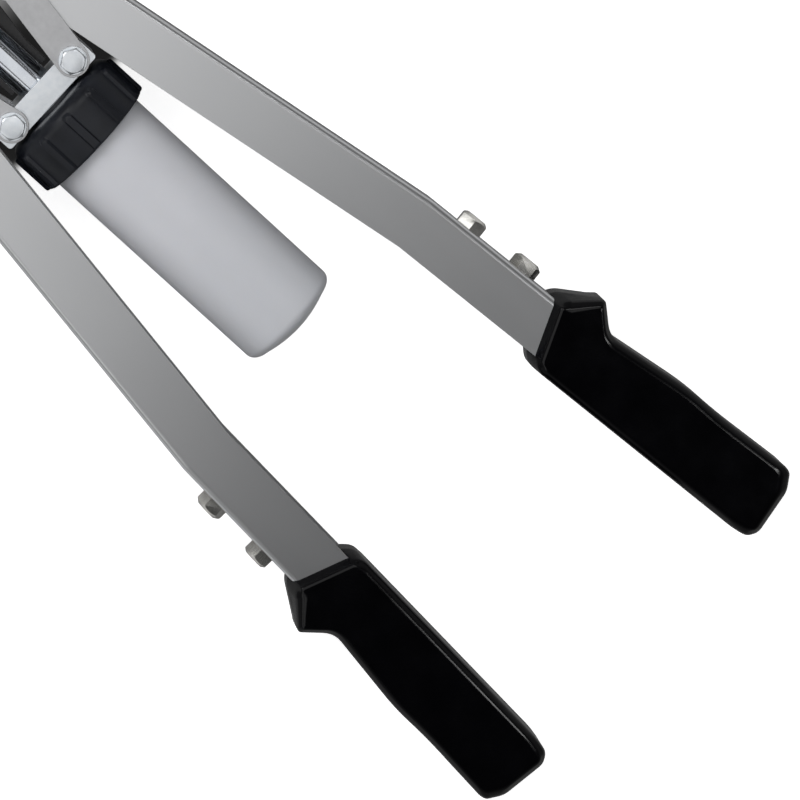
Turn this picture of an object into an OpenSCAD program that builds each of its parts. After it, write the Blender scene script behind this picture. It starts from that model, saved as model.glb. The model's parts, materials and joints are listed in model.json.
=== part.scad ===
// Lever hand riveter with two long arms, a pull tube and a bottle for spent mandrels.
// Millimetres. The origin is the mouth of the nosepiece, +X points out of the nose,
// the tool lies flat and every arm pivot is parallel to Z. The arms are closed.

/* [Head] */
// Distance from the nosepiece's mouth back to the arm pivots
pivot_back = 62; // [58:0.5:70]
// Distance of each arm pivot from the tool's axis
pivot_off = 13.5; // [13.2:0.1:15]
// Diameter of the arm pivot bolts
pivot_bolt_d = 8; // [6:0.5:8]
// Height of the head body between the arm plates
body_h = 18.8; // [18.4:0.1:22]
// Radius of the rounded lug round each arm pivot
lug_r = 8.5; // [7.5:0.1:9]
// Diameter of the head body's front barrel
barrel_d = 27; // [24:0.5:30]
// Length of the front barrel ahead of the lugs
barrel_len = 13; // [12:0.5:16]
// Diameter of the rear guide boss
rear_boss_d = 21; // [20:0.5:23]
// Length of the rear guide boss behind the lugs
rear_boss_len = 9; // [5:0.5:12]
// Outer diameter of the nose sleeve
sleeve_d = 20; // [19.5:0.5:22]
// How deep the nose sleeve is screwed into the barrel
sleeve_grip = 10; // [8:0.5:11]
// Thickness of the nose sleeve's front wall
sleeve_wall_front = 6; // [5:0.5:8]
// Width across the flats of the lock ring
ring_af = 26; // [25:0.5:30]
// Length of the lock ring
ring_len = 7; // [5:0.5:9]
// Thickness of the guide plate under the pull tube
plate_t = 2.5; // [2:0.1:3]
// Half width of the guide plate's rear end
plate_rear_half = 11; // [9:0.1:11.2]

/* [Nosepieces] */
// Width across the flats of a nosepiece's head
nose_af = 12; // [11:0.1:13]
// Length of a nosepiece's head
nose_head = 6; // [5:0.1:8]
// Thread diameter of a nosepiece
nose_thread_d = 9; // [8.5:0.1:9.5]
// Thread length of a nosepiece
nose_thread_len = 7; // [5:0.1:9]
// Bore of the nosepiece in use
nose_bore = 4.1; // [3.8:0.1:4.4]
// Bores of the four stored nosepieces
spare_bores = [3.6, 3.1, 2.7, 2.3];
// How far each stored nosepiece is turned when its thread is tight
spare_turns = [4, 30, 28, 14];

/* [Pull tube and jaws] */
// Outer diameter of the pull tube
tube_d = 16; // [15.5:0.1:16.2]
// Bore of the pull tube
tube_bore = 10; // [9:0.1:11]
// Length of the jaw case on the tube's front end
case_len = 26; // [24:0.5:30]
// Length of the three jaws
jaw_len = 14; // [12:0.5:15]
// Radius of the jaws' thin front end
jaw_r_front = 3.9; // [3.5:0.1:4.1]
// Radius of the jaws' thick rear end
jaw_r_rear = 6.1; // [5.8:0.1:6.1]
// Gap that the closed jaws leave round the axis
jaw_bore = 1.1; // [0.8:0.1:1.4]
// Length of the jaw pusher
pusher_len = 7; // [5:0.5:8]
// Wire diameter of the jaw spring
spring_wire = 1.2; // [0.8:0.1:1.3]
// Turns of the jaw spring
spring_turns = 7; // [5:1:9]

/* [Linkage] */
// Distance from an arm pivot to the link bolt on the same arm
crank_len = 18; // [17.6:0.1:18.4]
// Angle of that line from straight back, with the arms closed
crank_angle = 61.4; // [59:0.1:63]
// Length of a link between its two bolts
link_len = 58.2; // [57:0.1:60]
// Width of a link
link_w = 14.5; // [13:0.1:14.8]
// Thickness of a link
link_t = 3; // [2.5:0.1:4]
// Diameter of the yoke bolts and link bolts
link_bolt_d = 6; // [5:0.5:6]
// Width across the flats of their heads
link_bolt_af = 10; // [9:0.5:10.5]
// Diameter of their washers
link_washer_d = 12.4; // [11.6:0.1:13.4]
// Thickness of every washer
washer_t = 1.2; // [1:0.1:1.6]
// How far every bolt stands out of its nut
bolt_tail = 1.3; // [0.5:0.1:2]
// Radial clearance where the closed linkage is opened
open_clear = 1; // [0.9:0.05:1.2]
// Angle that each arm opens
open_angle = 40; // [38:1:40]

/* [Yoke] */
// Distance of each yoke bolt from the axis
yoke_bolt_off = 19; // [18.8:0.1:19.6]
// Thickness of the yoke along the axis, ahead of its bolts
yoke_front = 4.4; // [4.2:0.1:4.8]
// Thickness of the yoke along the axis, behind its bolts
yoke_rear = 6.7; // [6.2:0.1:7.1]
// Length of the yoke across the tool
yoke_len = 54; // [50:0.5:54.5]

/* [Cap and bottle] */
// Thickness of the cap's side wall between its ribs
cap_wall = 3.8; // [3.2:0.1:4]
// Length of the cap
cap_len = 25; // [22:0.5:28]
// Depth of the panels between the ribs
rib_depth = 1.4; // [1:0.1:1.6]
// Number of ribs
rib_count = 12; // [8:1:16]
// Width of a rib
rib_w = 4; // [3:0.1:6]
// Thickness of the cap's front wall
cap_front_t = 4; // [3:0.5:5]
// Height of the boss on the cap's front
boss_rise = 1.4; // [1:0.1:2]
// Radius of the cap's front shoulder
shoulder_r = 6; // [4:0.5:7]
// Diameter of the bottle
bottle_d = 49; // [46:0.2:50]
// Length of the bottle that shows behind the cap
bottle_show = 119; // [90:0.5:130]
// Wall of the bottle
bottle_wall = 1.6; // [1.2:0.1:3]
// Height of the bottle's domed end
dome_h = 5; // [3:0.1:7]
// Corner radius of the bottle's end
bottle_corner = 4; // [3:0.1:6]

/* [Arms] */
// Width of an arm
arm_w = 24.6; // [24:0.1:26]
// Thickness of the arm's sheet
sheet_t = 2.5; // [2:0.1:2.8]
// Outer bend radius of the folded edges
fold_r = 3; // [2.8:0.1:4]
// Angle of the arm's front part to the axis
front_slope = 8.8; // [8.4:0.1:9]
// Angle of the arm's rear part to the axis
rear_slope = 3.8; // [3.4:0.1:4.4]
// Distance from the yoke bolts back to the arm's bend
bend_back = 157.5; // [150:0.5:160]
// Distance of the arm's inner edge from the axis at the bend
bend_off = 54.2; // [53.8:0.1:56]
// Distance from the yoke bolts back to the first stored nosepiece
spare_back = 176; // [172:0.5:180]
// Spacing of the stored nosepieces
spare_pitch = 29.8; // [28:0.1:31]

/* [Grips] */
// Distance from the yoke bolts back to the grip's mouth on its outer side
grip_back = 223.5; // [221:0.5:228]
// Length of a grip
grip_len = 134; // [125:0.5:145]
// Wall of the grip on the arm's inner side
grip_wall_in = 4.5; // [3:0.1:5]
// Wall of the grip on the arm's outer side
grip_wall_out = 6.2; // [5:0.1:7.5]
// Wall of the grip over and under the arm
grip_wall_z = 4.2; // [3.5:0.1:5]
// How far the finger guard stands out past the neck behind it
guard_rise = 11; // [8:0.1:12]
// Distance of the guard's crest from the grip's mouth
guard_back = 16.7; // [15:0.1:18]
// Distance of the neck behind the guard from the grip's mouth
neck_back = 27; // [25:0.5:30]
// Distance of the palm swell from the grip's mouth
palm_back = 71; // [60:0.5:80]
// Angle by which the grip's mouth is cut askew
mouth_skew = 18.5; // [10:0.5:22]
// Angle by which the mouth's cheeks lean forward of its lips
mouth_lean = 37; // [20:1:42]
// Bevel of the grip's long edges
grip_bevel = 2.8; // [2:0.1:3.5]

/* [Fits] */
// Space between the faces of pieces that move past each other
slip = 0.3; // [0.3:0.05:0.4]
// Radial clearance of a running fit
run = 0.05; // [0.03:0.01:0.08]

/* [Hidden] */
$fn = 48;
hull_fn = 32;
eps = 0.01;

// Side a lies towards -Y, side b towards +Y.
SIDE_A = -1;
SIDE_B = 1;

// Levels over the tool's middle plane.
body_top = body_h / 2;
arm_in = body_top + slip;
arm_top = arm_in + sheet_t;
link_low = arm_top + slip;
link_top = link_low + link_t;
link_stack = link_top + slip;
link_head_h = link_bolt_d * 0.66;
link_nut_h = link_bolt_d * 0.85;
pivot_head_af = pivot_bolt_d * 1.625;
pivot_head_h = pivot_bolt_d * 0.66;
pivot_nut_h = pivot_bolt_d * 0.8;
plate_top = -(arm_top + slip);
plate_low = plate_top - plate_t;

// Places along the tool.
pivot_x = -pivot_back;
crank_x = pivot_x - crank_len * cos(crank_angle);
crank_y = pivot_off + crank_len * sin(crank_angle);
link_rise = crank_y - yoke_bolt_off;
link_angle = asin(link_rise / link_len);
yoke_x = crank_x - link_len * cos(link_angle);
yoke_front_x = yoke_x + yoke_front;
yoke_back_x = yoke_x - yoke_rear;

// Travel of the yoke from closed to open arms, and a little to spare.
stroke = crank_len * (cos(crank_angle) - cos(crank_angle + open_angle)) + slip;

lug_front_x = pivot_x + lug_r;
lug_rear_x = pivot_x - lug_r;
barrel_front_x = lug_front_x + barrel_len;
sleeve_back_x = barrel_front_x - sleeve_grip;
sleeve_front_x = -nose_head;

case_front_x = -nose_head - nose_thread_len - stroke - slip;
case_back_x = case_front_x - case_len;
cap_nut_af = tube_d + 6;
cap_nut_flange = 1.6;
cap_nut_len = 6.5;
tube_tail = 1.5;
bottle_r = bottle_d / 2;
cap_bore_r = bottle_r + slip;
panel_r = cap_bore_r + cap_wall;
cap_r = panel_r + rib_depth;
cap_back_x = yoke_back_x - cap_len;
cap_inner_x = yoke_back_x - cap_front_t;
cap_boss_r = 15;
// The links' round ends and the washers reach behind the yoke, over the cap's boss.
cap_boss = max(max(link_w, link_washer_d) / 2 - yoke_rear + slip, boss_rise);
tube_back_x = cap_inner_x - cap_nut_len - tube_tail;
jaw_front_x = case_front_x - 1.5;
jaw_back_x = jaw_front_x - jaw_len;
pusher_back_x = jaw_back_x - pusher_len;
case_wall = 1.6;
chamber_r = tube_d / 2 - case_wall;
spring_r = chamber_r - spring_wire / 2 - 0.2;
spring_room = 20;
spring_back_x = pusher_back_x - spring_room;

bend_x = yoke_x - bend_back;
web_lead = 6;
arm_short = 12;

neck_wall = 2.4;
grip_top = arm_top + grip_wall_z;

// Outline made of the given points and their mirror images across the axis.
function both_sides(points) = concat(
    points, [for (i = [len(points) - 1 : -1 : 0]) [points[i].x, -points[i].y]]
);

// Turns a profile about the X axis. Its points are [radius, x].
module turned() {
    rotate([0, 90, 0])
        rotate_extrude()
            children();
}

// Rod along +X from x0 to x1.
module rod_x(d, x0, x1) {
    translate([x0, 0, 0])
        rotate([0, 90, 0])
            cylinder(d = d, h = x1 - x0);
}

// Upright rod from z0 to z1.
module rod_z(d, z0, z1) {
    translate([0, 0, z0])
        cylinder(d = d, h = z1 - z0);
}

// Hexagonal prism of a given width across flats, with its base at z = 0.
module hex(af, h) {
    cylinder(d = af / cos(30), h = h, $fn = 6);
}

// Hexagon whose upper rim is cut by a 30 degree cone, as a turned bolt head is.
module crowned_hex(af, h) {
    corner_r = af / cos(30) / 2;
    face_r = af / 2 * 0.94;
    drop = (corner_r - face_r) * tan(30);
    intersection() {
        hex(af, h);
        union() {
            cylinder(r = corner_r + 1, h = h - drop);
            translate([0, 0, h - drop])
                cylinder(r1 = corner_r, r2 = face_r, h = drop);
        }
    }
}

// Flat ring with its base at z = 0.
module washer(d, hole, t) {
    difference() {
        cylinder(d = d, h = t);
        translate([0, 0, -1])
            cylinder(d = hole, h = t + 2);
    }
}

// Hexagonal nut with both rims crowned.
module nut(af, hole, h) {
    difference() {
        intersection() {
            crowned_hex(af, h);
            translate([0, 0, h])
                mirror([0, 0, 1])
                    crowned_hex(af, h);
        }
        translate([0, 0, -1])
            cylinder(d = hole, h = h + 2);
    }
}

// Bolt that stands upright: its head rests on z_head and its tip is at z_tip.
module bolt(d, af, head_h, z_head, z_tip) {
    chamfer = d / 8;
    translate([0, 0, z_head])
        crowned_hex(af, head_h);
    translate([0, 0, z_tip])
        cylinder(d1 = d - 2 * chamfer, d2 = d, h = chamfer);
    rod_z(d, z_tip + chamfer, z_head + eps);
}

// Nosepiece with its mouth at the origin, looking along +X.
module nosepiece_shape(bore) {
    crown = 1.6;
    difference() {
        union() {
            translate([-nose_head, 0, 0])
                rotate([0, 90, 0])
                    intersection() {
                        hex(nose_af, nose_head);
                        union() {
                            cylinder(d = nose_af * 1.3, h = nose_head - crown);
                            translate([0, 0, nose_head - crown])
                                cylinder(d1 = nose_af / cos(30), d2 = nose_af * 0.78, h = crown);
                        }
                    }
            rod_x(nose_thread_d, -nose_head - nose_thread_len, -nose_head + eps);
        }
        rod_x(bore, -nose_head - nose_thread_len - 1, 1);
    }
}

module nosepiece() {
    color("gainsboro")
        nosepiece_shape(nose_bore);
}

module nose_sleeve() {
    edge = 1.2;
    r = sleeve_d / 2;
    inner_back = sleeve_front_x - sleeve_wall_front;
    color("silver")
        difference() {
            turned()
                polygon([
                    [0, sleeve_back_x], [r, sleeve_back_x], [r, sleeve_front_x - edge],
                    [r - edge, sleeve_front_x], [0, sleeve_front_x]
                ]);
            rod_x(tube_d + 2 * run, sleeve_back_x - 1, inner_back);
            rod_x(nose_thread_d + 2 * run, inner_back - 1, sleeve_front_x + 1);
        }
}

module lock_ring() {
    color("dimgray")
        translate([barrel_front_x, 0, 0])
            rotate([0, 90, 0])
                nut(ring_af, sleeve_d + 2 * run, ring_len);
}

module at_pivots() {
    for (s = [-1, 1])
        translate([pivot_x, s * pivot_off, 0])
            children();
}

// Flat lug round both arm pivots, with the outline of two joined discs.
module lug_plan() {
    hull() {
        for (s = [-1, 1])
            translate([pivot_x, s * pivot_off])
                circle(r = lug_r, $fn = hull_fn);
    }
}

module head_body() {
    edge = 1.5;
    r = barrel_d / 2;
    color([0.08, 0.08, 0.09])
        difference() {
            union() {
                translate([0, 0, -body_top])
                    linear_extrude(body_h)
                        lug_plan();
                turned()
                    polygon([
                        [0, lug_front_x - 4], [body_top - 1, lug_front_x - 4], [r - 2, lug_front_x + 2.4],
                        [r, lug_front_x + 5], [r, barrel_front_x - edge],
                        [r - edge, barrel_front_x], [0, barrel_front_x]
                    ]);
                rear_boss();
            }
            rod_x(tube_d + 2 * run, lug_rear_x - rear_boss_len - 1, barrel_front_x + 1);
            rod_x(sleeve_d + 2 * run, sleeve_back_x, barrel_front_x + 1);
            at_pivots()
                rod_z(pivot_bolt_d + 2 * run, -body_top - 1, body_top + 1);
        }
}

// Tapered boss that guides the pull tube behind the pivots.
module rear_boss() {
    r = rear_boss_d / 2;
    turned()
        polygon([
            [0, lug_rear_x - rear_boss_len], [r - 1.2, lug_rear_x - rear_boss_len],
            [r, lug_rear_x - rear_boss_len + 1.2], [r, lug_rear_x - 1.6],
            [body_top - 0.6, lug_rear_x], [body_top - 0.6, lug_rear_x + 4], [0, lug_rear_x + 4]
        ]);
}

// Plate bolted under the head, over which the yoke slides.
module guide_plate() {
    rear_x = yoke_back_x + stroke + slip;
    neck_x = yoke_front_x + stroke;
    wide_x = lug_rear_x - 3;
    wide_half = plate_rear_half + (wide_x - neck_x) * sin(link_angle);
    color([0.07, 0.07, 0.08])
        difference() {
            translate([0, 0, plate_low])
                linear_extrude(plate_t)
                    union() {
                        lug_plan();
                        polygon(both_sides([
                            [pivot_x, pivot_off + lug_r / 2], [wide_x, wide_half],
                            [neck_x, plate_rear_half], [rear_x, plate_rear_half]
                        ]));
                    }
            at_pivots()
                rod_z(pivot_bolt_d + 2 * run, plate_low - 1, plate_top + 1);
        }
}

module arm_pivot_bolts() {
    color("silver")
        at_pivots()
            bolt(
                pivot_bolt_d, pivot_head_af, pivot_head_h,
                arm_top + slip + washer_t,
                plate_low - washer_t - pivot_nut_h - bolt_tail
            );
}

module arm_pivot_washers() {
    color("gainsboro")
        at_pivots() {
            translate([0, 0, arm_top + slip])
                washer(lug_r * 2 - 1, pivot_bolt_d + 2 * run, washer_t);
            translate([0, 0, plate_low - washer_t])
                washer(lug_r * 2 - 1, pivot_bolt_d + 2 * run, washer_t);
        }
}

module arm_pivot_nuts() {
    color("silver")
        at_pivots()
            translate([0, 0, plate_low - washer_t - pivot_nut_h])
                nut(pivot_head_af, pivot_bolt_d + 2 * run, pivot_nut_h);
}

module pull_tube() {
    edge = 0.8;
    r = tube_d / 2;
    color("lightsteelblue")
        difference() {
            turned()
                polygon([
                    [0, tube_back_x], [r - edge, tube_back_x], [r, tube_back_x + edge],
                    [r, case_back_x], [0, case_back_x]
                ]);
            rod_x(tube_bore, tube_back_x - 1, case_back_x + 1);
            rod_x(2 * chamber_r, spring_back_x, case_back_x + 1);
        }
}

function jaw_r_at(x) = jaw_r_front + (jaw_r_rear - jaw_r_front) * (jaw_front_x - x) / jaw_len;

module jaw_case() {
    edge = 2.5;
    r = tube_d / 2;
    color("slategray")
        difference() {
            turned()
                polygon([
                    [0, case_back_x], [r, case_back_x], [r, case_front_x - edge],
                    [r - edge / 2, case_front_x], [0, case_front_x]
                ]);
            turned()
                polygon([
                    [0, case_back_x - 1], [chamber_r, case_back_x - 1],
                    [chamber_r, jaw_back_x], [jaw_r_at(jaw_back_x) + slip, jaw_back_x],
                    [jaw_r_at(case_front_x + 1) + slip, case_front_x + 1], [0, case_front_x + 1]
                ]);
        }
}

// Three jaws that together make a slit cone with teeth round the mandrel's way.
module jaws() {
    slit = 0.5;
    tooth = 1;
    teeth = floor((jaw_len - 3) / tooth);
    color("darkgray")
        difference() {
            turned()
                polygon([
                    [jaw_bore, jaw_back_x], [jaw_r_rear, jaw_back_x], [jaw_r_front, jaw_front_x],
                    [jaw_bore + 0.8, jaw_front_x],
                    for (i = [0 : teeth - 1]) each [
                        [jaw_bore + 0.4, jaw_front_x - 1 - i * tooth],
                        [jaw_bore, jaw_front_x - 1 - (i + 0.8) * tooth]
                    ]
                ]);
            for (i = [0 : 2])
                rotate([i * 120, 0, 0])
                    translate([jaw_back_x - 1, -slit / 2, 0])
                        cube([jaw_len + 2, slit, jaw_r_rear + 1]);
        }
}

module jaw_pusher() {
    color("darkgoldenrod")
        difference() {
            turned()
                polygon([
                    [0, pusher_back_x], [chamber_r - 2 * spring_wire - 0.4, pusher_back_x],
                    [chamber_r - 2 * spring_wire - 0.4, pusher_back_x + 3],
                    [chamber_r - slip, pusher_back_x + 3],
                    [chamber_r - slip, jaw_back_x - 0.8], [chamber_r - 1, jaw_back_x], [0, jaw_back_x]
                ]);
            rod_x(5, pusher_back_x - 1, jaw_back_x + 1);
        }
}

// Coil spring swept along a helix, as rings of points round the wire's path.
module jaw_spring() {
    sides = 8;
    steps = 20;
    front_x = pusher_back_x + 3 - spring_wire / 2 - eps;
    back_x = spring_back_x + spring_wire / 2 + eps;
    rings = spring_turns * steps;
    points = [
        for (i = [0 : rings], j = [0 : sides - 1])
            let (
                turn = i * 360 / steps,
                side = j * 360 / sides,
                r = spring_r + spring_wire / 2 * cos(side),
                x = front_x + (back_x - front_x) * i / rings + spring_wire / 2 * sin(side)
            )
            [x, r * cos(turn), r * sin(turn)]
    ];
    faces = [
        [for (j = [sides - 1 : -1 : 0]) j],
        [for (j = [0 : sides - 1]) rings * sides + j],
        for (i = [0 : rings - 1], j = [0 : sides - 1]) each [
            [i * sides + j, i * sides + (j + 1) % sides, (i + 1) * sides + j],
            [i * sides + (j + 1) % sides, (i + 1) * sides + (j + 1) % sides, (i + 1) * sides + j]
        ]
    ];
    color("gray")
        polyhedron(points = points, faces = faces);
}

module at_yoke_bolts() {
    for (s = [-1, 1])
        translate([yoke_x, s * yoke_bolt_off, 0])
            children();
}

module yoke() {
    corner = 1.5;
    color("whitesmoke")
        difference() {
            translate([0, 0, -arm_top])
                linear_extrude(2 * arm_top)
                    hull() {
                        for (s = [-1, 1], x = [yoke_front_x - corner, yoke_back_x + corner])
                            translate([x, s * (yoke_len / 2 - corner)])
                                circle(r = corner, $fn = hull_fn);
                    }
            rod_x(tube_d + 2 * run, yoke_back_x - 1, yoke_front_x + 1);
            at_yoke_bolts()
                rod_z(link_bolt_d + 2 * run, -arm_top - 1, arm_top + 1);
        }
}

// Bolt, washer and nut set of a link joint, with the bolt's axis on Z.
module link_bolt() {
    bolt(
        link_bolt_d, link_bolt_af, link_head_h,
        link_stack + washer_t,
        -link_stack - washer_t - link_nut_h - bolt_tail
    );
}

module link_washers() {
    for (z = [link_stack, -link_stack - washer_t])
        translate([0, 0, z])
            washer(link_washer_d, link_bolt_d + 2 * run, washer_t);
}

module link_nut() {
    translate([0, 0, -link_stack - washer_t - link_nut_h])
        nut(link_bolt_af, link_bolt_d + 2 * run, link_nut_h);
}

module yoke_bolts() {
    color("whitesmoke")
        at_yoke_bolts()
            link_bolt();
}

module yoke_washers() {
    color("gainsboro")
        at_yoke_bolts()
            link_washers();
}

module yoke_nuts() {
    color("whitesmoke")
        at_yoke_bolts()
            link_nut();
}

// Flanged nut on the tube's end that holds the cap against the yoke.
module cap_nut() {
    flange_x = cap_inner_x - cap_nut_flange;
    color("silver")
        difference() {
            union() {
                rod_x(cap_nut_af * 1.25, flange_x, cap_inner_x);
                translate([flange_x + eps, 0, 0])
                    rotate([0, -90, 0])
                        crowned_hex(cap_nut_af, cap_nut_len - cap_nut_flange);
            }
            rod_x(tube_d + 2 * run, cap_inner_x - cap_nut_len - 1, cap_inner_x + 1);
        }
}

// Quarter of a rounded shoulder, from the front face to the side wall.
function shoulder(r, x, radius) = [
    for (a = [90 : -10 : 0]) [r - radius + radius * cos(a), x - radius + radius * sin(a)]
];

module bottle_cap() {
    shoulder_x = yoke_back_x - cap_boss;
    rib_front_x = shoulder_x - shoulder_r;
    color([0.09, 0.09, 0.1])
        difference() {
            union() {
                turned()
                    polygon(concat(
                        [
                            [0, cap_back_x], [0, yoke_back_x],
                            [cap_boss_r, yoke_back_x], [cap_boss_r, shoulder_x]
                        ],
                        shoulder(panel_r, shoulder_x, shoulder_r),
                        [[panel_r, cap_back_x]]
                    ));
                intersection() {
                    rod_x(2 * cap_r, cap_back_x, yoke_back_x);
                    for (i = [0 : rib_count - 1])
                        rotate([i * 360 / rib_count, 0, 0])
                            translate([0, 0, panel_r - 1])
                                linear_extrude(rib_depth + 2) {
                                    translate([cap_back_x, -rib_w / 2])
                                        square([rib_front_x - cap_back_x, rib_w]);
                                    translate([rib_front_x, 0])
                                        circle(d = rib_w);
                                }
                }
            }
            rod_x(tube_d + 2 * run, cap_inner_x - 1, yoke_back_x + 1);
            rod_x(2 * cap_bore_r, cap_back_x - 1, cap_inner_x);
        }
}

// Outline of the bottle from its mouth to its domed end, drawn in by d all round.
function bottle_side(d) = let (
    mouth_x = cap_inner_x - slip,
    end_x = cap_back_x - bottle_show,
    r = bottle_r - d,
    c = max(bottle_corner - d, 0.5),
    dome_r = (r * r + dome_h * dome_h) / (2 * dome_h)
)
concat(
    [[r, mouth_x]],
    [for (a = [0 : 15 : 75]) [r - c + c * cos(a), end_x + dome_h + d + c - c * sin(a)]],
    [
        for (a = [asin((r - c) / dome_r) : -4 : 0])
            [dome_r * sin(a), end_x + d + dome_r - dome_r * cos(a)]
    ],
    [[0, end_x + d]]
);

module bottle() {
    inner = bottle_side(bottle_wall);
    color([0.93, 0.94, 0.96, 0.9])
        turned()
            polygon(concat(
                bottle_side(0),
                [for (i = [len(inner) - 1 : -1 : 0]) inner[i]]
            ));
}

// Flat link from a yoke bolt to the bolt on the arm, on the +Y side.
module link_plate(z) {
    color("darkgray")
        translate([yoke_x, yoke_bolt_off, z])
            rotate([0, 0, link_angle])
                linear_extrude(link_t)
                    difference() {
                        union() {
                            circle(d = link_w);
                            translate([0, -link_w / 2])
                                square([link_len, link_w]);
                            translate([link_len, 0])
                                circle(d = link_w);
                        }
                        circle(d = link_bolt_d + 2 * run);
                        translate([link_len, 0])
                            circle(d = link_bolt_d + 2 * open_clear);
                    }
}

// Puts a shape drawn on the +Y side onto the given side.
module on_side(side) {
    mirror([0, side == SIDE_A ? 1 : 0, 0])
        children();
}

module link_a_top() {
    on_side(SIDE_A)
        link_plate(link_low);
}

module link_a_bottom() {
    on_side(SIDE_A)
        link_plate(-link_top);
}

module link_b_top() {
    on_side(SIDE_B)
        link_plate(link_low);
}

module link_b_bottom() {
    on_side(SIDE_B)
        link_plate(-link_top);
}

// The arm is a band of even width with one bend. Points on it are given as w outward
// from its inner edge, and how far ahead of the bend or behind it they lie.
front_len = (bend_back + pivot_x - web_lead - yoke_x) / cos(front_slope);
grip_mouth = along(grip_back, arm_w);
arm_rear_len = grip_mouth + grip_len - arm_short;

function outward(slope) = [sin(slope), cos(slope)];

function front_point(w, ahead) = [bend_x, bend_off]
    + w * outward(front_slope)
    + ahead * [cos(front_slope), -sin(front_slope)];

function rear_point(w, behind) = [bend_x, bend_off]
    + w * outward(rear_slope)
    + behind * [-cos(rear_slope), sin(rear_slope)];

function bend_point(w) = [bend_x, bend_off]
    + w * (outward(front_slope) + outward(rear_slope)) / (1 + cos(front_slope - rear_slope));

// How far behind the bend a point lies that is w outward and back behind the yoke bolts.
function along(back, w) = (back - bend_back + w * sin(rear_slope)) / cos(rear_slope);

// Frame of a stretch: x outward from the inner edge, y from the bend towards the grip.
module stretch_frame(slope) {
    translate([bend_x, bend_off, 0])
        rotate([0, 0, 90 - slope])
            children();
}

// Extrudes a section, drawn as [outward, up], from one place along a stretch to another.
module along_stretch(from, to) {
    translate([0, to, 0])
        rotate([90, 0, 0])
            linear_extrude(to - from)
                children();
}

// The fold's round is drawn between these two angles. Short tangents join it to the
// arm's outer wall and its upper face.
fold_from = 7.5;
fold_to = 90 - fold_from;
fold_step = 15;

// Points of the upper fold's round.
function fold_round() = [
    for (a = [fold_from : fold_step : fold_to])
        [arm_w - fold_r + fold_r * cos(a), arm_top - fold_r + fold_r * sin(a)]
];

// The fold with the ends of its tangents, from the wall to the upper face.
function fold_edge() = let (reach = fold_r * (1 - tan(fold_from / 2))) concat(
    [[arm_w, arm_top - reach]], fold_round(), [[arm_w - reach, arm_top]]
);

// Outline of the arm's flat front end, with the lobe that reaches to the pivot.
module front_plan() {
    corner_r = 8;
    lobe_r = lug_r + 0.5;
    lobe_run = 42;
    run_r = 2;
    inset = 1.5;
    hull() {
        translate([pivot_x, pivot_off])
            circle(r = lobe_r, $fn = hull_fn);
        translate(front_point(arm_w - fold_r - inset - corner_r, front_len - inset))
            circle(r = corner_r, $fn = hull_fn);
        for (w = [run_r + inset, arm_w - fold_r - run_r - inset])
            translate(front_point(w, front_len - lobe_run))
                circle(r = run_r, $fn = hull_fn);
    }
}

// Outline of the whole arm seen from above, with a fillet where the lobe ends.
module arm_plan() {
    fillet = 6;
    offset(r = -fillet, $fn = hull_fn)
        offset(delta = fillet) {
            polygon([
                front_point(0, front_len), bend_point(0), rear_point(0, arm_rear_len),
                rear_point(arm_w, arm_rear_len), bend_point(arm_w), front_point(arm_w, front_len)
            ]);
            front_plan();
        }
}

// Space between the arm's upper and lower plates. It is open towards the axis, at the
// rear end, and ahead of the wall's front edge.
module channel_plan() {
    wall_w = arm_w - sheet_t;
    past = 30;
    polygon([
        front_point(-past, front_len + past), bend_point(-past), rear_point(-past, arm_rear_len + 1),
        rear_point(wall_w, arm_rear_len + 1), bend_point(wall_w), front_point(wall_w, front_len),
        front_point(arm_w + 1, front_len), front_point(arm_w + 1, front_len + past)
    ]);
}

// What the folds leave away from the arm's two outer corners.
module fold_corners() {
    past = 6;
    along_tangent = past * [sin(fold_from), -cos(fold_from)];
    points = fold_round();
    last = points[len(points) - 1];
    for (s = [0, 1])
        mirror([0, s])
            polygon(concat(
                [points[0] + along_tangent], points,
                [last + [along_tangent.y, along_tangent.x], [arm_w + past, arm_top + past]]
            ));
}

module arm_shape() {
    difference() {
        linear_extrude(2 * arm_top, center = true)
            arm_plan();
        linear_extrude(2 * arm_in, center = true)
            channel_plan();
        stretch_frame(front_slope)
            along_stretch(-front_len - 1, fold_r)
                fold_corners();
        stretch_frame(rear_slope)
            along_stretch(-fold_r, arm_rear_len + 1)
                fold_corners();
        translate([pivot_x, pivot_off, 0])
            rod_z(pivot_bolt_d + 2 * run, -arm_top - 1, arm_top + 1);
        translate([crank_x, crank_y, 0])
            rod_z(link_bolt_d + 2 * run, -arm_top - 1, arm_top + 1);
        for (i = [0, 1])
            at_spare(i)
                rod_x(nose_thread_d + 2 * run, -sheet_t - nose_head - 1, 0);
    }
}

// Frame of a stored nosepiece's mouth, on the arm's outer wall.
module at_spare(i) {
    stretch_frame(rear_slope)
        translate([arm_w + nose_head, along(spare_back + i * spare_pitch, arm_w), 0])
            children();
}

module spare(i, place) {
    color("gainsboro")
        at_spare(i)
            rotate([spare_turns[place], 0, 0])
                nosepiece_shape(spare_bores[place]);
}

module at_crank() {
    translate([crank_x, crank_y, 0])
        children();
}

// Tube between the arm's plates that lets the link bolt be tightened.
module link_spacer() {
    color("silver")
        at_crank()
            translate([0, 0, -arm_in])
                washer(link_bolt_d + 5, link_bolt_d + 2 * run, 2 * arm_in);
}

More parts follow.
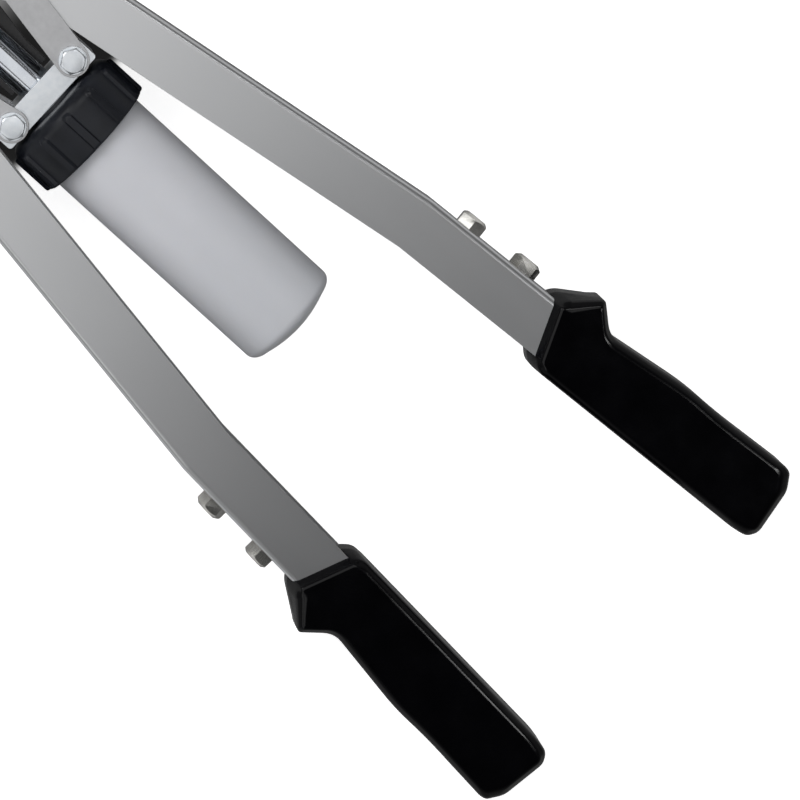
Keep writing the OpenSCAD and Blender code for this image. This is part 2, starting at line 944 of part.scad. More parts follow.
// Front part of the grip's outline at the height z, drawn in by d: mouth, finger guard
// and neck. Points are [w, t], outward from the arm's inner edge and back from the mouth.
function guard_outline(z, d) = let (
    neck_w = arm_w + neck_wall,
    crest = [neck_w + guard_rise, guard_back],
    neck_t = neck_back + 1,
    chamfer = 2.8,
    lip = (z - arm_top) * tan(mouth_lean),
    skew = arm_w * tan(mouth_skew)
) [
    [arm_w - 1, lip], [arm_w + chamfer - d, lip + chamfer], [crest.x - d, crest.y],
    [neck_w - d, neck_t], [d - grip_wall_in, neck_t],
    [d - grip_wall_in, lip + skew + grip_wall_in], [0, lip + skew]
];

// Rear part of the grip's outline, drawn in by d: neck, palm swell and rounded end.
function palm_outline(d) = let (
    neck_w = arm_w + neck_wall,
    palm_w = arm_w + grip_wall_out - d,
    inner_w = d - grip_wall_in,
    back = grip_len - d
) [
    [neck_w - d, neck_back], [palm_w, palm_back], [palm_w, back - 7], [palm_w - 8, back - 1.8],
    [1, back], [inner_w + 1, back - 3.2], [inner_w, back - 10], [inner_w, neck_back]
];

// Front part of the grip, whose mouth leans back from its middle to its lips.
module guard_block() {
    cheek_top = arm_top - 5;
    hull() {
        linear_extrude(2 * cheek_top, center = true)
            polygon(guard_outline(cheek_top, 0));
        linear_extrude(2 * (grip_top - grip_bevel), center = true)
            polygon(guard_outline(grip_top - grip_bevel, 0));
        linear_extrude(2 * grip_top, center = true)
            polygon(guard_outline(grip_top, grip_bevel));
    }
}

// Rear part of the grip, with a bevel along its upper and lower edges.
module palm_block() {
    hull() {
        linear_extrude(2 * (grip_top - grip_bevel), center = true)
            polygon(palm_outline(0));
        linear_extrude(2 * grip_top, center = true)
            polygon(palm_outline(grip_bevel));
    }
}

module grip_shape() {
    upper = fold_edge();
    lower = [for (i = [len(upper) - 1 : -1 : 0]) [upper[i].x, -upper[i].y]];
    difference() {
        stretch_frame(rear_slope)
            translate([0, grip_mouth, 0]) {
                guard_block();
                palm_block();
            }
        stretch_frame(rear_slope)
            along_stretch(0, arm_rear_len)
                polygon(concat(
                    [[0, -arm_top]], lower, upper, [[0, arm_top]]
                ));
    }
}

module arm_a() {
    color([0.62, 0.63, 0.65])
        on_side(SIDE_A)
            arm_shape();
}

module arm_b() {
    color([0.62, 0.63, 0.65])
        on_side(SIDE_B)
            arm_shape();
}

module grip_a() {
    color([0.03, 0.03, 0.035])
        on_side(SIDE_A)
            grip_shape();
}

module grip_b() {
    color([0.03, 0.03, 0.035])
        on_side(SIDE_B)
            grip_shape();
}

module link_spacer_a() {
    on_side(SIDE_A)
        link_spacer();
}

module link_spacer_b() {
    on_side(SIDE_B)
        link_spacer();
}

module link_bolt_a() {
    color("whitesmoke")
        on_side(SIDE_A)
            at_crank()
                link_bolt();
}

module link_bolt_b() {
    color("whitesmoke")
        on_side(SIDE_B)
            at_crank()
                link_bolt();
}

module link_washers_a() {
    color("gainsboro")
        on_side(SIDE_A)
            at_crank()
                link_washers();
}

module link_washers_b() {
    color("gainsboro")
        on_side(SIDE_B)
            at_crank()
                link_washers();
}

module link_nut_a() {
    color("whitesmoke")
        on_side(SIDE_A)
            at_crank()
                link_nut();
}

module link_nut_b() {
    color("whitesmoke")
        on_side(SIDE_B)
            at_crank()
                link_nut();
}

module spare_nosepiece_a1() {
    on_side(SIDE_A)
        spare(0, 0);
}

module spare_nosepiece_a2() {
    on_side(SIDE_A)
        spare(1, 1);
}

module spare_nosepiece_b1() {
    on_side(SIDE_B)
        spare(0, 2);
}

module spare_nosepiece_b2() {
    on_side(SIDE_B)
        spare(1, 3);
}

nosepiece();
nose_sleeve();
lock_ring();
head_body();
guide_plate();
arm_pivot_bolts();
arm_pivot_washers();
arm_pivot_nuts();
pull_tube();
jaw_case();
jaws();
jaw_pusher();
jaw_spring();
yoke();
yoke_bolts();
yoke_washers();
yoke_nuts();
cap_nut();
bottle_cap();
bottle();
link_a_top();
link_a_bottom();
link_b_top();
link_b_bottom();
arm_a();
link_spacer_a();
link_bolt_a();
link_washers_a();
link_nut_a();
spare_nosepiece_a1();
spare_nosepiece_a2();
grip_a();
arm_b();
link_spacer_b();
link_bolt_b();
link_washers_b();
link_nut_b();
spare_nosepiece_b1();
spare_nosepiece_b2();
grip_b();
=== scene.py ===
# %% [markdown]
# # A lever hand riveter, dressed for its portrait
#
# The tool lies on a white table and is seen from above. Its construction model comes in
# as a fixed frame of forty pieces. This lesson gives them their finish: satin arms, black
# gloss grips, a milky bottle, a ribbed cap, chrome, zinc and nickel. Where the plain
# solid is too coarse, a finer surface is worked out and takes its place.

# %% Load the frame
import json
import math

import bmesh
import bpy
import numpy as np
from mathutils import Matrix, Vector


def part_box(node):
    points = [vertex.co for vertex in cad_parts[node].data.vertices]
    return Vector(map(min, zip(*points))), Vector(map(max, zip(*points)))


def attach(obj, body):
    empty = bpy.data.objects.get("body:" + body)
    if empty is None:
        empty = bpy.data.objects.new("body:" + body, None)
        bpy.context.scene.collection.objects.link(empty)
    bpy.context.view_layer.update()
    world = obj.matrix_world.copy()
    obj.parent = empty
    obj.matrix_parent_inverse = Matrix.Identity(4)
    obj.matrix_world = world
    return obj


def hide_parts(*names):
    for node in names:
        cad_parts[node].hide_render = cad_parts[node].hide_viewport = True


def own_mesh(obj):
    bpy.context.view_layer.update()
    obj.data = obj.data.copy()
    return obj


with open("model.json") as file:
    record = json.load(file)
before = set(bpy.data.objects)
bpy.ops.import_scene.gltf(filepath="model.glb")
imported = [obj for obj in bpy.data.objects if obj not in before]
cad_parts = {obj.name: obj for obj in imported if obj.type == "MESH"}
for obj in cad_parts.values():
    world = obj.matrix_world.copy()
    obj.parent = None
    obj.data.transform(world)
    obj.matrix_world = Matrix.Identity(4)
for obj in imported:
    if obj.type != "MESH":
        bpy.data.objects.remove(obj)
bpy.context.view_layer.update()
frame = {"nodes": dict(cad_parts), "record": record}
nodes = frame["nodes"]
body_of_node = {n: b for b, ns in frame["record"]["behaviour"]["bodies"].items() for n in ns}
slot_of_node = {p["node"]: p["material_slot"] for p in frame["record"]["subparts"]}

# %% [markdown]
# ## The camera
#
# The photograph looks almost straight down, from far away, with the tool running from
# the upper left corner to the lower right. The head is outside the picture. The camera's
# place was found by laying known points of the tool (bolts, arm edges, bottle corners)
# over the picture until they met. Its three directions are written as rows: right, up
# and back. The lens is long, because lines that are parallel on the tool stay nearly so.

# %% Place the camera
CAMERA_RIGHT = (-0.7264, -0.67896, 0.10689)
CAMERA_UP = (0.6631, -0.73319, -0.15096)
CAMERA_BACK = (0.18085, -0.03878, 0.98281)
CAMERA_PLACE = (0.1269, -0.1043, 2.5001)
FOCAL_PX = 5891.0
FRAME_PX = 800
SENSOR_MM = 36.0

camera_data = bpy.data.cameras.new("camera")
camera_data.sensor_width = SENSOR_MM
camera_data.lens = FOCAL_PX / FRAME_PX * SENSOR_MM
camera_data.clip_end = 20
camera = bpy.data.objects.new("camera", camera_data)
bpy.context.scene.collection.objects.link(camera)
turn = Matrix((CAMERA_RIGHT, CAMERA_UP, CAMERA_BACK)).transposed().to_4x4()
camera.matrix_world = Matrix.Translation(CAMERA_PLACE) @ turn
bpy.context.scene.camera = camera
print("lens:", round(camera_data.lens, 1), "mm")

# %% [markdown]
# ## The table
#
# The tool rests on the underside of its cap and on the rear ends of the two grips, so
# the table isn't quite parallel to the arms: it drops a little towards the nose. It is a
# large pale sheet. To the camera it shows as white paper, but half of what it shows is
# real reflected light, so the tool keeps its shadow.

# %% Lay the table
TABLE_HALF = 6.0
TABLE_GAP = 0.0004
GRIP_ROUND = 0.006


def plane_through_supports():
    """Height of the table at x = 0 and its slope along x, from the cap and the grips,
    whose flat faces begin GRIP_ROUND in front of their rear ends."""
    cap_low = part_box("bottle_cap")[0]
    grip_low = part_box("grip_a")[0]
    x_cap, z_cap = cap_low.x, cap_low.z
    x_grip, z_grip = grip_low.x + GRIP_ROUND, grip_low.z
    slope = (z_cap - z_grip) / (x_cap - x_grip)
    return z_cap - slope * x_cap, slope


table_z, table_slope = plane_through_supports()
corners = [(x * TABLE_HALF, y * TABLE_HALF) for x, y in ((-1, -1), (1, -1), (1, 1), (-1, 1))]
table_mesh = bpy.data.meshes.new("table")
table_mesh.from_pydata(
    [(x, y, table_z + table_slope * x - TABLE_GAP) for x, y in corners], [], [(0, 1, 2, 3)]
)
table = bpy.data.objects.new("table", table_mesh)
bpy.context.scene.collection.objects.link(table)
print("table height at the nose:", round(table_z, 4), "slope:", round(table_slope, 4))

# %% [markdown]
# ## A small kit for materials
#
# A finish is a Principled shader plus a few patterns that change its colour, its
# roughness and its bump. All patterns read Object coordinates in metres, so they stay on
# the piece when it moves. The helpers below keep each material to a few lines.

# %% Material helpers
def new_material(name, colour, metallic=0.0, roughness=0.5, **sockets):
    """Material with one Principled shader. Extra sockets are given by their names, with
    spaces written as underscores."""
    material = bpy.data.materials.new(name)
    material.use_nodes = True
    shader = material.node_tree.nodes["Principled BSDF"]
    shader.inputs["Base Color"].default_value = (*colour, 1)
    shader.inputs["Metallic"].default_value = metallic
    shader.inputs["Roughness"].default_value = roughness
    for key, value in sockets.items():
        shader.inputs[key.replace("_", " ")].default_value = value
    return material, material.node_tree, shader


def object_coordinates(tree, stretch=(1, 1, 1)):
    """Object coordinates, stretched by a Mapping node."""
    place = tree.nodes.new("ShaderNodeTexCoord")
    mapping = tree.nodes.new("ShaderNodeMapping")
    mapping.inputs["Scale"].default_value = stretch
    tree.links.new(place.outputs["Object"], mapping.inputs["Vector"])
    return mapping.outputs["Vector"]


def noise(tree, scale, detail=3.0, roughness=0.55, stretch=(1, 1, 1)):
    """Cloudy noise, whose grain is about 1 / scale metres across before stretching."""
    node = tree.nodes.new("ShaderNodeTexNoise")
    node.inputs["Scale"].default_value = scale
    node.inputs["Detail"].default_value = detail
    node.inputs["Roughness"].default_value = roughness
    tree.links.new(object_coordinates(tree, stretch), node.inputs["Vector"])
    return node.outputs["Fac"]


def ramp(tree, value, low, high, start=0.35, end=0.65, kind="LINEAR"):
    """Goes from low to high while the input goes from start to end. The usual start and
    end take in the middle range of a noise."""
    node = tree.nodes.new("ShaderNodeMapRange")
    node.interpolation_type = kind
    for name, number in (
        ("From Min", start), ("From Max", end), ("To Min", low), ("To Max", high)
    ):
        node.inputs[name].default_value = number
    tree.links.new(value, node.inputs["Value"])
    return node.outputs["Result"]


def blend_colours(tree, factor, first, second):
    """Colour between two given colours, by a pattern from 0 to 1."""
    node = tree.nodes.new("ShaderNodeMix")
    node.data_type = "RGBA"
    node.inputs["A"].default_value = (*first, 1)
    node.inputs["B"].default_value = (*second, 1)
    tree.links.new(factor, node.inputs["Factor"])
    return node.outputs["Result"]


def add_bump(tree, shader, height, distance, normal=None):
    """Bump of the given depth in metres, laid over an earlier one if there is one."""
    node = tree.nodes.new("ShaderNodeBump")
    node.inputs["Strength"].default_value = 1.0
    node.inputs["Distance"].default_value = distance
    tree.links.new(height, node.inputs["Height"])
    if normal is not None:
        tree.links.new(normal, node.inputs["Normal"])
    tree.links.new(node.outputs["Normal"], shader.inputs["Normal"])
    return node.outputs["Normal"]


def smooth_step(tree, value, start, end, low=0.0, high=1.0):
    """Value that eases from low to high while the input goes from start to end."""
    return ramp(tree, value, low, high, start, end, "SMOOTHSTEP")


def object_axes(tree):
    """The three Object coordinates as separate outputs X, Y and Z."""
    split = tree.nodes.new("ShaderNodeSeparateXYZ")
    tree.links.new(object_coordinates(tree), split.inputs[0])
    return split.outputs


def maths(tree, operation, first, second=None):
    """One arithmetic step between sockets or numbers."""
    node = tree.nodes.new("ShaderNodeMath")
    node.operation = operation
    for socket, value in zip(node.inputs, (first, second)):
        if isinstance(value, (int, float)):
            socket.default_value = value
        elif value is not None:
            tree.links.new(value, socket)
    return node.outputs[0]


finishes = {}

# %% [markdown]
# ## Satin plate on the arms
#
# The arms are folded from sheet steel and plated dull. The plate is even and soft: its
# reflections are wide and blurred, a little streaked along the arm from rolling and
# polishing, with faint cloudy patches where it has been handled.

# %% Satin arm steel
def satin_arm_steel():
    """Dull plate: streaks along the arm change its gloss, clouds change its grey, and a
    fine grain lies over both. Its gloss stays within a narrow range, because the plate is
    even."""
    material, tree, shader = new_material(
        "satin_arm_steel", (0.66, 0.668, 0.68), 1.0, 0.29
    )
    streaks = noise(tree, 60, 1, 0.5, (0.1, 1, 1))
    clouds = noise(tree, 16, 1)
    grain = noise(tree, 900, 2, 0.6, (0.15, 1, 1))
    tree.links.new(
        blend_colours(
            tree, ramp(tree, clouds, 0, 1, 0.0, 1.0), (0.63, 0.638, 0.65), (0.69, 0.698, 0.71)
        ),
        shader.inputs["Base Color"],
    )
    tree.links.new(ramp(tree, streaks, 0.28, 0.31, 0.0, 1.0), shader.inputs["Roughness"])
    add_bump(tree, shader, grain, 0.000003)
    return material


finishes["arm_steel"] = satin_arm_steel()

# %% [markdown]
# ## Zinc, nickel, chrome and bare steel
#
# The yoke and the bolts have bright zinc plate, which is pale and slightly mottled. The
# links are duller. The stored nosepieces have a bright nickel plate with turning marks.
# The pull tube is polished chrome. The jaws, hidden in the head, are ground steel.

# %% Plated metals
def plated(name, dark, light, rough_low, rough_high, mottle=320, grain_depth=0.000008):
    """Metal plate: mottled between two colours, with uneven gloss and a fine grain."""
    middle = tuple((a + b) / 2 for a, b in zip(dark, light))
    material, tree, shader = new_material(name, middle, 1.0, (rough_low + rough_high) / 2)
    spots = noise(tree, mottle, 3, 0.6)
    clouds = noise(tree, mottle / 6, 2)
    tree.links.new(
        blend_colours(tree, ramp(tree, spots, 0, 1), dark, light), shader.inputs["Base Color"]
    )
    tree.links.new(ramp(tree, clouds, rough_low, rough_high), shader.inputs["Roughness"])
    add_bump(tree, shader, noise(tree, mottle * 8, 2), grain_depth)
    return material


# Each row: name, dark and light colour, lowest and highest roughness, mottle, grain depth
PLATES = {
    "zinc": ("bright_zinc", (0.80, 0.84, 0.88), (0.87, 0.90, 0.93), 0.28, 0.36),
    "link_steel": ("dull_zinc", (0.54, 0.543, 0.555), (0.585, 0.588, 0.60), 0.32, 0.42),
    "nickel": ("bright_nickel", (0.70, 0.69, 0.66), (0.80, 0.79, 0.75), 0.16, 0.27),
    "chrome": ("chrome", (0.62, 0.65, 0.70), (0.70, 0.73, 0.77), 0.08, 0.14, 120, 0.000002),
    "tool_steel": ("ground_steel", (0.32, 0.32, 0.33), (0.4, 0.4, 0.41), 0.28, 0.38),
    "spring_steel": ("spring_wire", (0.42, 0.42, 0.43), (0.5, 0.5, 0.5), 0.28, 0.35),
}
for slot, recipe in PLATES.items():
    finishes[slot] = plated(*recipe)
print("plates:", list(PLATES))

# %% [markdown]
# ## Black: paint, cap and grips
#
# Three blacks differ by their gloss. The head has a hard gloss paint. The cap is moulded,
# a little dull, with the fine texture of its mould. The grips were dipped and are the
# glossiest: their flat faces look empty black and only their edges catch a thin light.

# %% Blacks
def moulded_black(name, colour, rough_low, rough_high, grain, depth, shine=0.5):
    """Black plastic or paint: even colour with patches half as bright again, uneven gloss
    and a fine skin of a given depth. Its mirror strength seen square on is set by shine; at
    a flat angle it stays strong."""
    material, tree, shader = new_material(
        name, colour, 0.0, rough_low, IOR=1.46, Specular_IOR_Level=shine
    )
    cloud = noise(tree, grain / 12, 3)
    lighter = tuple(1.5 * c + 0.0003 for c in colour)
    tree.links.new(
        blend_colours(tree, ramp(tree, cloud, 0, 1), colour, lighter), shader.inputs["Base Color"]
    )
    tree.links.new(ramp(tree, cloud, rough_low, rough_high), shader.inputs["Roughness"])
    add_bump(tree, shader, noise(tree, grain, 2), depth)
    return material


# Each row: name, colour, lowest and highest roughness, grain, its depth, shine
BLACKS = {
    "black_paint": ("gloss_paint", (0.012, 0.012, 0.014), 0.16, 0.26, 900, 0.00001),
    "cap_black": ("moulded_cap", (0.0045, 0.0055, 0.0085), 0.34, 0.44, 1400, 0.000015, 0.45),
    "grip_black": ("dipped_grip", (0.0004, 0.0004, 0.0008), 0.11, 0.17, 700, 0.000008, 0.3),
}
for slot, recipe in BLACKS.items():
    finishes[slot] = moulded_black(*recipe)
print("blacks:", list(BLACKS))

# %% [markdown]
# ## The bottle's milky plastic
#
# The bottle is blown from milky polyethylene. Light enters it and spreads, so its shade
# runs softly from the middle to the sides. A subsurface shader does that. The closed end
# is painted a little greyer than the mouth, as a painted shade. Its skin is smooth with a
# slight waviness from the mould.

# %% Milky plastic
def milky_plastic():
    """Plastic that light enters by a few millimetres, with a broad wave and a fine skin."""
    material, tree, shader = new_material(
        "milky_plastic", (0.70, 0.705, 0.76), 0.0, 0.34,
        IOR=1.5, Subsurface_Weight=0.6, Subsurface_Scale=0.006,
    )
    shader.inputs["Subsurface Radius"].default_value = (1.0, 0.95, 0.9)
    # Painted shade: the base colour turns greyer towards the bottle's closed end.
    along = smooth_step(tree, object_axes(tree)["X"], -0.31, -0.17)
    cloudy = ramp(tree, noise(tree, 28, 2), -0.06, 0.06)
    tree.links.new(
        blend_colours(
            tree, maths(tree, "ADD", along, cloudy), (0.645, 0.66, 0.70), (0.745, 0.75, 0.80)
        ),
        shader.inputs["Base Color"],
    )
    tree.links.new(ramp(tree, noise(tree, 60, 3), 0.3, 0.4), shader.inputs["Roughness"])
    wave = add_bump(tree, shader, noise(tree, 45, 1), 0.00012)
    add_bump(tree, shader, noise(tree, 1500, 2), 0.00001, normal=wave)
    return material


finishes["bottle_milky"] = milky_plastic()
print("finishes:", sorted(finishes))

# %% [markdown]
# ## The table's paper
#
# Camera rays see part paper and part plain white, so the open table is white and the
# shadow stays as a soft grey. Under the head the linkage nearly fills the space between
# the arms, and there the table carries a painted shade, a patch fixed on the table that
# fades out at the cap. Close beside the tool, what the metal mirrors of the paper is a
# painted shade too: a glow that is dark grey where the tool closes it in and pale grey
# farther off. All other light meets ordinary pale paper. From below the sheet is
# clear, so that the tool's underside can be looked at.

# %% Table material
PAPER = 0.86
GLOW = 0.84
# SHADE is the painted shade: what is left of the table's glow and colour under the head.
SHADE = 0.015
# SEEN_NEAR and SEEN_FAR: the painted shade of the grey glow that mirrors see, near and far.
SEEN_NEAR = 0.13
SEEN_FAR = 0.62
NEAR_REACH = 0.08
NEAR_OPEN = 0.74


def painted_shade_under_head(tree):
    """Painted shade: 1 on the open table and SHADE under the linkage, the product of three
    soft edges, one across the tool at the arms, one along it at the cap and one at the nose."""
    axes = object_axes(tree)
    sideways = maths(tree, "ABSOLUTE", axes["Y"])
    across = smooth_step(tree, sideways, 0.030, 0.050, 1.0, 0.0)
    along = smooth_step(tree, axes["X"], -0.152, -0.142)
    nose = smooth_step(tree, axes["X"], -0.115, -0.05, 1.0, 0.0)
    under = maths(tree, "MULTIPLY", maths(tree, "MULTIPLY", across, along), nose)
    return smooth_step(tree, under, 0.0, 1.0, 1.0, SHADE)


def mixed(tree, factor, first, second):
    """Shader that is the first where the factor is 0 and the second where it is 1."""
    node = tree.nodes.new("ShaderNodeMixShader")
    for socket, value in zip(node.inputs, (factor, first, second)):
        tree.links.new(value, socket)
    return node.outputs[0]


def emission(tree, strength):
    """White glow whose strength comes from a socket."""
    node = tree.nodes.new("ShaderNodeEmission")
    tree.links.new(strength, node.inputs["Strength"])
    return node.outputs[0]


def table_paper():
    """Paper that shows white with a painted shade under the head to the camera, a grey glow
    with painted shade near the tool to mirrors, plain paper to all other light, and nothing
    at all from below."""
    material = bpy.data.materials.new("table_paper")
    material.use_nodes = True
    tree = material.node_tree
    tree.nodes.clear()
    paper = tree.nodes.new("ShaderNodeBsdfDiffuse")
    paper.inputs["Color"].default_value = (PAPER, PAPER, PAPER, 1)
    # The painted shade darkens both the paper's colour and its glow under the head.
    shade = painted_shade_under_head(tree)
    shaded = tree.nodes.new("ShaderNodeBsdfDiffuse")
    tree.links.new(maths(tree, "MULTIPLY", shade, PAPER), shaded.inputs["Color"])
    seen = tree.nodes.new("ShaderNodeAddShader")
    tree.links.new(emission(tree, maths(tree, "MULTIPLY", shade, GLOW)), seen.inputs[0])
    tree.links.new(shaded.outputs[0], seen.inputs[1])
    # Painted shade for mirrors: the grey glow they see is darker where occlusion is high.
    near = tree.nodes.new("ShaderNodeAmbientOcclusion")
    near.inputs["Distance"].default_value = NEAR_REACH
    near.samples = 4
    painted_mirror_shade = smooth_step(tree, near.outputs["AO"], NEAR_OPEN, 1.0, SEEN_NEAR, SEEN_FAR)
    grey = emission(tree, painted_mirror_shade)
    rays = tree.nodes.new("ShaderNodeLightPath").outputs
    straight = maths(tree, "MAXIMUM", rays["Is Camera Ray"], rays["Is Transmission Ray"])
    mirrored = mixed(tree, rays["Is Glossy Ray"], paper.outputs[0], grey)
    above = mixed(tree, straight, mirrored, seen.outputs[0])
    clear = tree.nodes.new("ShaderNodeBsdfTransparent")
    side = tree.nodes.new("ShaderNodeNewGeometry")
    sheet = mixed(tree, side.outputs["Backfacing"], above, clear.outputs[0])
    out = tree.nodes.new("ShaderNodeOutputMaterial")
    tree.links.new(sheet, out.inputs["Surface"])
    return material


table_mesh.materials.append(table_paper())

# %% [markdown]
# ## The light
#
# The arms are bright near the head and dark near the grips. On a satin surface that
# means one thing: a broad soft lamp hangs over the head's side, and its mirror image
# slides out of the arms towards their rear ends. A lamp beyond the head lights the cap and
# the bottle. The metal would mirror it as a white blot when it is seen from behind, so
# glossy rays miss it and meet a weaker lamp in its place. A strip on one side and a weak
# fill on the other draw the folds near the head, and a narrow lamp draws the thin line
# along the grips' bevels. The room itself is dim overhead and paler round the horizon.

# %% Lamps and room
def softbox(name, place, target, size, power, spin=0):
    """Rectangular area lamp at a place, facing a target point. Spin turns it in degrees
    about the line to its target."""
    data = bpy.data.lights.new(name, "AREA")
    data.shape = "RECTANGLE"
    data.size, data.size_y = size
    data.energy = power
    lamp = bpy.data.objects.new(name, data)
    bpy.context.scene.collection.objects.link(lamp)
    aim = Vector(target) - Vector(place)
    facing = aim.to_track_quat("-Z", "Y").to_matrix().to_4x4()
    lamp.matrix_world = (
        Matrix.Translation(place) @ facing @ Matrix.Rotation(math.radians(spin), 4, "Z")
    )
    return lamp


softbox("key_softbox", (0.17, 0.1, 1.3), (0.17, 0.1, 0.0), (1.10, 1.6), 5.0)
softbox("head_glow", (1.1, 0.1, 1.2), (-0.2, 0.0, 0.0), (1.0, 0.8), 5.0)
head_lamp = softbox("head_lamp", (1.1, 0.1, 1.2), (-0.2, 0.0, 0.0), (1.0, 0.8), 13.5)
head_lamp.visible_glossy = False
softbox("side_strip", (0.3, -1.0, 1.25), (0.2, 0.0, 0.0), (1.0, 0.22), 2.4)
softbox("far_fill", (0.15, 1.3, 1.0), (0.0, 0.0, 0.0), (1.2, 0.7), 2.4)
softbox("edge_glint", (-0.857, -0.67, 1.3), (-0.857, -0.67, 0.0), (0.09, 0.73), 2.4, -9.1)


HORIZON = 0.34
OVERHEAD = 0.04


def dim_room():
    """World that is white to the camera. For light it is dim overhead and paler low down:
    its strength falls with the direction's height."""
    world = bpy.data.worlds.new("room")
    bpy.context.scene.world = world
    world.use_nodes = True
    tree = world.node_tree
    tree.nodes.clear()
    out = tree.nodes.new("ShaderNodeOutputWorld")
    place = tree.nodes.new("ShaderNodeTexCoord")
    split = tree.nodes.new("ShaderNodeSeparateXYZ")
    tree.links.new(place.outputs["Generated"], split.inputs[0])
    level = ramp(tree, split.outputs["Z"], HORIZON, OVERHEAD, 0.0, 0.85)
    light = tree.nodes.new("ShaderNodeBackground")
    tree.links.new(level, light.inputs["Strength"])
    white = tree.nodes.new("ShaderNodeBackground")
    white.inputs["Strength"].default_value = 1.0
    rays = tree.nodes.new("ShaderNodeLightPath").outputs
    room = mixed(tree, rays["Is Camera Ray"], light.outputs[0], white.outputs[0])
    tree.links.new(room, out.inputs["Surface"])


dim_room()
bpy.context.scene.view_settings.view_transform = "Standard"

# %% [markdown]
# ## Putting a piece in its place
#
# Every finished piece says three things: which body it moves with, which construction
# node it stands for, and which slot of the record its finish comes from. One helper says
# them all, so no piece can be left behind.

# %% Piece helper
def finish_piece(piece, node):
    """Gives a piece the finish of its node, lets it ride on the node's body and replaces
    the node by it."""
    slot = slot_of_node[node]
    piece.data.materials.clear()
    piece.data.materials.append(finishes[slot])
    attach(piece, body_of_node[node])
    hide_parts(node)
    return piece


def new_piece(name, vertices, faces, smooth_angle=35):
    """Object from arrays of corners and faces, shaded smooth except over sharp edges."""
    mesh = bpy.data.meshes.new(name)
    mesh.from_pydata(np.asarray(vertices).tolist(), [], [tuple(f) for f in faces])
    mesh.validate()
    mesh.polygons.foreach_set("use_smooth", np.ones(len(mesh.polygons), bool))
    mesh.set_sharp_from_angle(angle=math.radians(smooth_angle))
    piece = bpy.data.objects.new(name, mesh)
    bpy.context.scene.collection.objects.link(piece)
    return piece


def turn_outwards(piece, merge=None):
    """Merges corners that lie closer than the given distance, if one is given, and makes
    all faces point outwards."""
    work = bmesh.new()
    work.from_mesh(piece.data)
    if merge:
        bmesh.ops.remove_doubles(work, verts=work.verts, dist=merge)
    bmesh.ops.recalc_face_normals(work, faces=work.faces)
    work.to_mesh(piece.data)
    work.free()


def count(piece):
    """Number of triangles of a piece with its modifiers."""
    seen = piece.evaluated_get(bpy.context.evaluated_depsgraph_get()).to_mesh()
    seen.calc_loop_triangles()
    return len(seen.loop_triangles)

# %% [markdown]
# ## Softening the metal parts
#
# No real edge is a knife edge. Even a stamped link has a small round that catches the
# light, and without it metal looks like paper. The metal parts have the right shape
# already, so each gets a merged copy whose flat faces are joined and whose edges carry a
# narrow bevel. The bevel's shading is hardened, so the flats stay flat.

# %% Softened copies
SMALL_EDGE = 0.0002
MERGE = 0.000002
FLAT_WITHIN = 0.6


def softened(node, width, segments=2, angle=28):
    """Copy of a node with merged corners, flats joined within FLAT_WITHIN degrees and a
    bevel of the given width in metres on every edge sharper than the angle in degrees."""
    work = bmesh.new()
    work.from_mesh(nodes[node].data)
    bmesh.ops.remove_doubles(work, verts=work.verts, dist=MERGE)
    bmesh.ops.dissolve_limit(
        work, angle_limit=math.radians(FLAT_WITHIN), verts=work.verts, edges=work.edges
    )
    mesh = bpy.data.meshes.new(node + "_soft")
    work.to_mesh(mesh)
    work.free()
    mesh.polygons.foreach_set("use_smooth", np.ones(len(mesh.polygons), bool))
    mesh.set_sharp_from_angle(angle=math.radians(angle))
    piece = bpy.data.objects.new(node + "_soft", mesh)
    bpy.context.scene.collection.objects.link(piece)
    bevel = piece.modifiers.new("soft_edges", "BEVEL")
    bevel.width = width
    bevel.segments = segments
    bevel.limit_method = "ANGLE"
    bevel.angle_limit = math.radians(angle)
    bevel.harden_normals = True
    return finish_piece(piece, node)


EDGE_OF = {
    "yoke": 0.0005, "arm_a": 0.0004, "arm_b": 0.0004, "head_body": 0.0006, "guide_plate": 0.0005,
    "nose_sleeve": 0.0003, "lock_ring": 0.0003, "link_a_top": 0.0004, "link_b_top": 0.0004,
    "link_a_bottom": 0.0004, "link_b_bottom": 0.0004, "pull_tube": 0.0003,
}
WORKED_OUT = ("grip_a", "grip_b", "bottle", "bottle_cap", "jaw_spring")
for node in sorted(nodes):
    if node not in WORKED_OUT:
        piece = softened(node, EDGE_OF.get(node, SMALL_EDGE))
        print(node, count(piece), "triangles")

# %% [markdown]
# ## Surfaces of revolution
#
# The bottle and the cap are turned shapes. Their surface is a profile carried round the
# tool's axis, which lies along X. The cap's ribs are added to its radius.

# %% Turning a profile
def turned_grid(profile, columns, radius=None):
    """Corners and faces of a closed profile turned about X. A profile point (x, r) goes to
    (x, r cos a, r sin a); radius, if given, changes r as a function of a, x and r."""
    profile = np.asarray(profile, float)
    angle = np.arange(columns) * 2 * math.pi / columns
    x, r = (profile[:, i][:, None] + 0 * angle for i in (0, 1))
    a = angle[None, :] + 0 * x
    if radius is not None:
        r = radius(a, x, r)
    corners = np.stack([x, r * np.cos(a), r * np.sin(a)], -1).reshape(-1, 3)
    rows = len(profile)
    i, j = np.meshgrid(np.arange(rows), np.arange(columns), indexing="ij")
    k, m = (i + 1) % rows, (j + 1) % columns
    faces = np.stack([i * columns + j, i * columns + m, k * columns + m, k * columns + j], -1)
    return corners, faces.reshape(-1, 4)


def arc(centre, radius, start, end, steps):
    """Points on a circle from one angle to another, in degrees: centre + radius (cos, sin)."""
    a = np.radians(np.linspace(start, end, steps))
    return np.stack([centre[0] + radius * np.cos(a), centre[1] + radius * np.sin(a)], -1)

# %% [markdown]
# ## The bottle
#
# A blown bottle has a thin even wall, a soft corner and a slightly domed end. The wall is
# drawn twice, outside and inside, and both lines meet at the mouth. The two poles on the
# axis are closed by merging.

# %% Make the bottle
BOTTLE_WALL = 0.0016
BOTTLE_CORNER = 0.0045
BOTTLE_DOME = 0.005
DOME_STEP = 0.0004
BOTTLE_COLUMNS = 96


